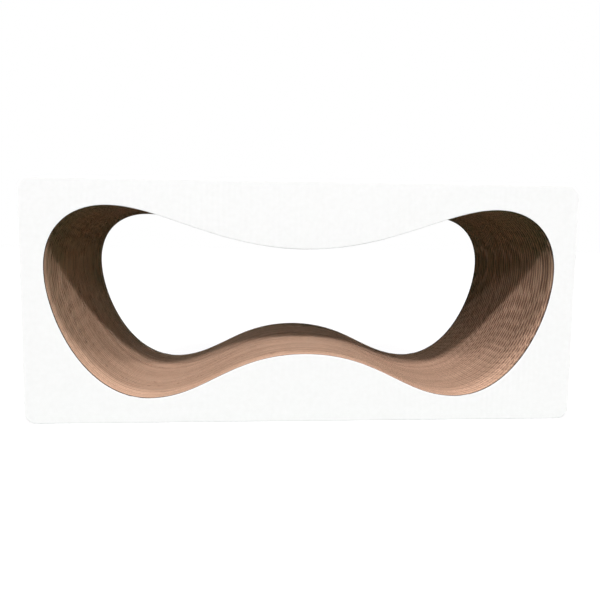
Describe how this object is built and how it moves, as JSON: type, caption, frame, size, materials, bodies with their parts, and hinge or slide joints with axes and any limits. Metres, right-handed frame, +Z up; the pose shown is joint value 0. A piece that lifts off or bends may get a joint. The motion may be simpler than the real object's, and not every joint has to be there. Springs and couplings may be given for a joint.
{
  "type": "cardboard cat scratcher",
  "caption": "Free-standing cat scratcher block of glued die-cut corrugated sheets, with a bone-shaped opening right through it whose wavy floor is the seat and scratching surface.",
  "frame": {"origin": "middle of the block's footprint, on the floor", "axes": "+X along the block's length, +Y from the front panel to the back panel, +Z up"},
  "size_m": [0.48, 0.2022, 0.209],
  "materials": {
    "kraft_board": "raw brown kraft corrugated board, matte, with open flutes on the cut edges",
    "white_paper": "smooth white coated liner paper, faintly satin"
  },
  "bodies": {
    "root": {"front_face_paper": "white_paper", "front_cover_board": "kraft_board", "core_sheet_01": "kraft_board", "core_sheet_02": "kraft_board", "core_sheet_03": "kraft_board", "core_sheet_04": "kraft_board", "core_sheet_05": "kraft_board", "core_sheet_06": "kraft_board", "core_sheet_07": "kraft_board", "core_sheet_08": "kraft_board", "core_sheet_09": "kraft_board", "core_sheet_10": "kraft_board", "core_sheet_11": "kraft_board", "core_sheet_12": "kraft_board", "core_sheet_13": "kraft_board", "core_sheet_14": "kraft_board", "core_sheet_15": "kraft_board", "core_sheet_16": "kraft_board", "core_sheet_17": "kraft_board", "core_sheet_18": "kraft_board", "core_sheet_19": "kraft_board", "core_sheet_20": "kraft_board", "core_sheet_21": "kraft_board", "core_sheet_22": "kraft_board", "core_sheet_23": "kraft_board", "core_sheet_24": "kraft_board", "core_sheet_25": "kraft_board", "core_sheet_26": "kraft_board", "core_sheet_27": "kraft_board", "core_sheet_28": "kraft_board", "core_sheet_29": "kraft_board", "core_sheet_30": "kraft_board", "core_sheet_31": "kraft_board", "core_sheet_32": "kraft_board", "core_sheet_33": "kraft_board", "core_sheet_34": "kraft_board", "core_sheet_35": "kraft_board", "core_sheet_36": "kraft_board", "core_sheet_37": "kraft_board", "core_sheet_38": "kraft_board", "core_sheet_39": "kraft_board", "core_sheet_40": "kraft_board", "back_cover_board": "kraft_board", "back_face_paper": "white_paper"}
  },
  "joints": []
}
